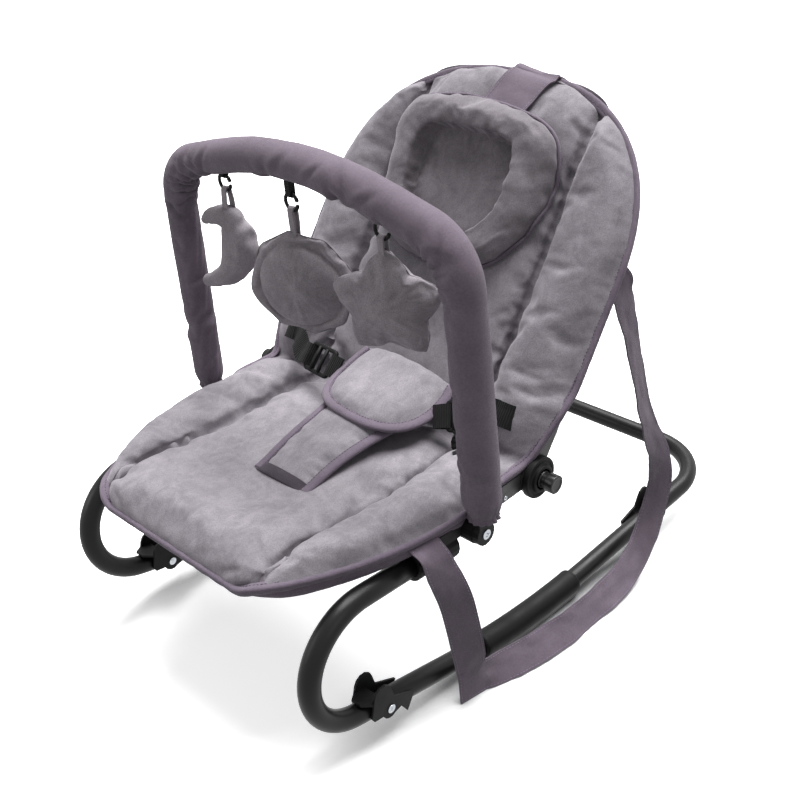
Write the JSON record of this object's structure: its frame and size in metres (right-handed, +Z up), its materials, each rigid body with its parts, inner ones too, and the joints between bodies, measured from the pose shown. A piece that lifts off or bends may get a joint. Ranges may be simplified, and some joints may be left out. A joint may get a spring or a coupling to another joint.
{
  "type": "baby rocker",
  "caption": "Padded baby rocker seat on a curved black tube base, with a reclining back, harness pads, carry straps, flip-over stops and a tilting toy bar with stuffed toys.",
  "frame": {"origin": "bottom centre of the whole rocker's bounding box, on the floor at the rocker rails' lowest points", "axes": "+Z up; the foot end points towards -Y and the backrest towards +Y; +X is the child's left side"},
  "size_m": [0.4666, 0.7456, 0.5633],
  "materials": {
    "tube_coating": "satin black powder coat",
    "black_plastic": "fine matte",
    "hinge_steel": "dark semi-matte",
    "zinc": "bright zinc",
    "plush": "short mottled grey pile",
    "woven_cloth": "plain woven, purple grey",
    "webbing": "ribbed black webbing"
  },
  "bodies": {
    "base": {"hook_tube_left": "tube_coating", "hook_tube_right": "tube_coating", "rail_sleeve_left": "black_plastic", "rail_sleeve_right": "black_plastic", "rear_tube": "tube_coating", "seat_frame_tube": "tube_coating", "hinge_plate_lower_left": "hinge_steel", "hinge_plate_lower_right": "hinge_steel", "hinge_housing_left": "black_plastic", "hinge_housing_right": "black_plastic", "seat_sling": "woven_cloth", "seat_pad": "plush", "side_bracket_left": "black_plastic", "side_bracket_right": "black_plastic", "toy_bar_pin_left": "zinc", "toy_bar_pin_right": "zinc", "stop_pin_front_left": "zinc", "stop_pin_front_right": "zinc", "stop_pin_rear_left": "zinc", "stop_pin_rear_right": "zinc", "crotch_pad": "plush", "waist_pad": "plush", "webbing_left": "webbing", "webbing_right": "webbing", "buckle_left": "black_plastic", "buckle_right": "black_plastic", "waist_webbing_left": "webbing", "waist_webbing_right": "webbing", "webbing_end_left": "webbing", "carry_strap_left": "woven_cloth", "carry_strap_right": "woven_cloth"},
    "backrest": {"back_frame_tube": "tube_coating", "hinge_plate_upper_left": "hinge_steel", "hinge_plate_upper_right": "hinge_steel", "back_sling": "woven_cloth", "back_pad": "plush", "head_pillow": "plush", "head_band": "woven_cloth"},
    "toy_bar": {"toy_bar_tube": "tube_coating", "toy_bar_sleeve": "woven_cloth", "toy_bar_foot_left": "black_plastic", "toy_bar_foot_right": "black_plastic", "toy_tape_moon": "webbing", "toy_tape_sun": "webbing", "toy_tape_star": "webbing"},
    "hanging_moon": {"toy_hook_moon": "black_plastic", "toy_moon": "plush"},
    "hanging_sun": {"toy_hook_sun": "black_plastic", "toy_sun": "plush"},
    "hanging_star": {"toy_hook_star": "black_plastic", "toy_star": "plush"},
    "stop_front_left": {"stop_front_left": "black_plastic"},
    "stop_front_right": {"stop_front_right": "black_plastic"},
    "stop_rear_left": {"stop_rear_left": "black_plastic"},
    "stop_rear_right": {"stop_rear_right": "black_plastic"},
    "recline_button_left": {"recline_button_left": "black_plastic"},
    "recline_button_right": {"recline_button_right": "black_plastic"}
  },
  "joints": [
    {"name": "recline", "type": "hinge", "parent": "base", "child": "backrest", "pos_m": [0, -0.061, 0.2152], "axis": [-1, 0, 0], "range_deg": [0, 35], "deforming": ["carry_strap_left", "carry_strap_right", "webbing_left", "webbing_right"]},
    {"name": "toy_bar_tilt", "type": "hinge", "parent": "base", "child": "toy_bar", "pos_m": [0, -0.156, 0.198], "axis": [1, 0, 0], "range_deg": [-10, 45]},
    {"name": "moon_swing", "type": "hinge", "parent": "toy_bar", "child": "hanging_moon", "pos_m": [-0.114, -0.18895, 0.49176], "axis": [1, 0, 0], "range_deg": [-30, 30]},
    {"name": "sun_swing", "type": "hinge", "parent": "toy_bar", "child": "hanging_sun", "pos_m": [-0.01401, -0.18903, 0.49244], "axis": [1, 0, 0], "range_deg": [-30, 30]},
    {"name": "star_swing", "type": "hinge", "parent": "toy_bar", "child": "hanging_star", "pos_m": [0.105, -0.18903, 0.49248], "axis": [1, 0, 0], "range_deg": [-30, 30]},
    {"name": "stop_front_left_flip", "type": "hinge", "parent": "base", "child": "stop_front_left", "pos_m": [0.176, -0.267, 0.04211], "axis": [-1, 0, 0], "range_deg": [0, 70]},
    {"name": "stop_front_right_flip", "type": "hinge", "parent": "base", "child": "stop_front_right", "pos_m": [-0.176, -0.267, 0.04211], "axis": [-1, 0, 0], "range_deg": [0, 70]},
    {"name": "stop_rear_left_flip", "type": "hinge", "parent": "base", "child": "stop_rear_left", "pos_m": [0.176, 0.203, 0.0324], "axis": [1, 0, 0], "range_deg": [0, 70]},
    {"name": "stop_rear_right_flip", "type": "hinge", "parent": "base", "child": "stop_rear_right", "pos_m": [-0.176, 0.203, 0.0324], "axis": [1, 0, 0], "range_deg": [0, 70]},
    {"name": "recline_button_left_press", "type": "slide", "parent": "base", "child": "recline_button_left", "axis": [-1, 0, 0], "range_m": [0, 0.005], "stiffness_N_per_m": 800},
    {"name": "recline_button_right_press", "type": "slide", "parent": "base", "child": "recline_button_right", "axis": [1, 0, 0], "range_m": [0, 0.005], "stiffness_N_per_m": 800}
  ]
}
